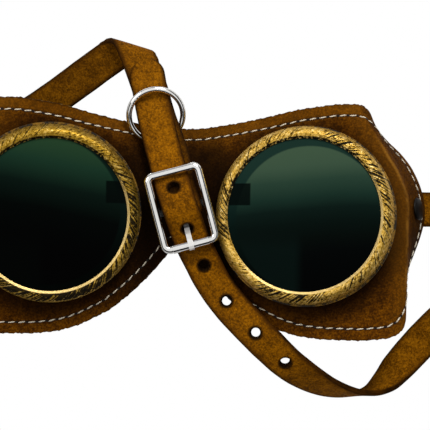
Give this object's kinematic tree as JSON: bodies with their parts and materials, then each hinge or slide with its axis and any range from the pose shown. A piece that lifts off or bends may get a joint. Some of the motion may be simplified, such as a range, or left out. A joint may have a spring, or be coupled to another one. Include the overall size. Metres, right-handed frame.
{
  "type": "steampunk goggles",
  "caption": "Brown leather mask with antiqued round screw-on bezels over dark green lenses, turned-down side wings and a buckled head strap with a keeper ring, lying on its back.",
  "frame": {"origin": "middle of the mask between the two cups, at the level of the surface the goggles lie on", "axes": "+X to the picture's right along the mask, +Y up the mask towards the forehead edge, +Z out of the lenses"},
  "size_m": [0.2189, 0.1189, 0.0336],
  "materials": {
    "mask": "oiled brown leather, matt",
    "lining": "suede, matt",
    "strap": "brown leather, slightly fuzzy",
    "cup": "black, matt",
    "ring": "antique gold, speckled with black",
    "bezel": "antique gold paint brushed over black",
    "lens": "dark green, polished",
    "gasket": "matt",
    "bridge": "black, matt",
    "nickel": "bright nickel plate",
    "cap": "black, satin",
    "post": "plain steel"
  },
  "bodies": {
    "goggles": {"mask_leather": "mask", "mask_lining": "lining", "eyecup_left": "cup", "eyecup_right": "cup", "base_ring_left": "ring", "base_ring_right": "ring", "nose_bridge": "bridge", "tip_strap": "strap", "buckle_strap": "strap", "fold_rivet": "nickel", "buckle_frame": "nickel", "rivet_cap_left": "cap", "rivet_cap_right": "cap", "rivet_post_left": "post", "rivet_post_right": "post"},
    "prong": {"buckle_prong": "nickel"},
    "roller": {"buckle_roller": "nickel"},
    "keeper": {"keeper_ring": "nickel"},
    "lens_stack_left": {"lens_left": "lens", "lens_gasket_left": "gasket"},
    "lens_stack_right": {"lens_right": "lens", "lens_gasket_right": "gasket"},
    "bezel_ring_left": {"bezel_left": "bezel"},
    "bezel_ring_right": {"bezel_right": "bezel"}
  },
  "joints": [
    {"name": "prong_hinge", "type": "hinge", "parent": "goggles", "child": "prong", "pos_m": [0.0011, 0.002, 0.0254], "axis": [-0.9632, -0.2689, 0], "range_deg": [0, 4]},
    {"name": "roller_turn", "type": "hinge", "parent": "goggles", "child": "roller", "pos_m": [0.00438, -0.00975, 0.0278], "axis": [0.9632, 0.2689, 0], "continuous": true},
    {"name": "keeper_slide", "type": "slide", "parent": "goggles", "child": "keeper", "axis": [0.2644, -0.947, 0.1822], "range_m": [-0.005, 0]},
    {"name": "lens_travel_left", "type": "slide", "parent": "goggles", "child": "lens_stack_left", "axis": [0.0693, -0.1132, 0.9912], "range_m": [0, 0.0021]},
    {"name": "bezel_screw_left", "type": "hinge", "parent": "lens_stack_left", "child": "bezel_ring_left", "pos_m": [-0.0416, 0, 0.0215], "axis": [0.0693, -0.1132, 0.9912], "range_deg": [0, 720]},
    {"name": "lens_travel_right", "type": "slide", "parent": "goggles", "child": "lens_stack_right", "axis": [-0.139, 0.0523, 0.9889], "range_m": [0, 0.0021]},
    {"name": "bezel_screw_right", "type": "hinge", "parent": "lens_stack_right", "child": "bezel_ring_right", "pos_m": [0.0416, 0, 0.0205], "axis": [-0.139, 0.0523, 0.9889], "range_deg": [0, 720]}
  ],
  "couplings": [
    {"joint": "lens_travel_left", "follows": "bezel_screw_left", "m_per_rad": 0.00015915},
    {"joint": "lens_travel_right", "follows": "bezel_screw_right", "m_per_rad": 0.00015915}
  ]
}
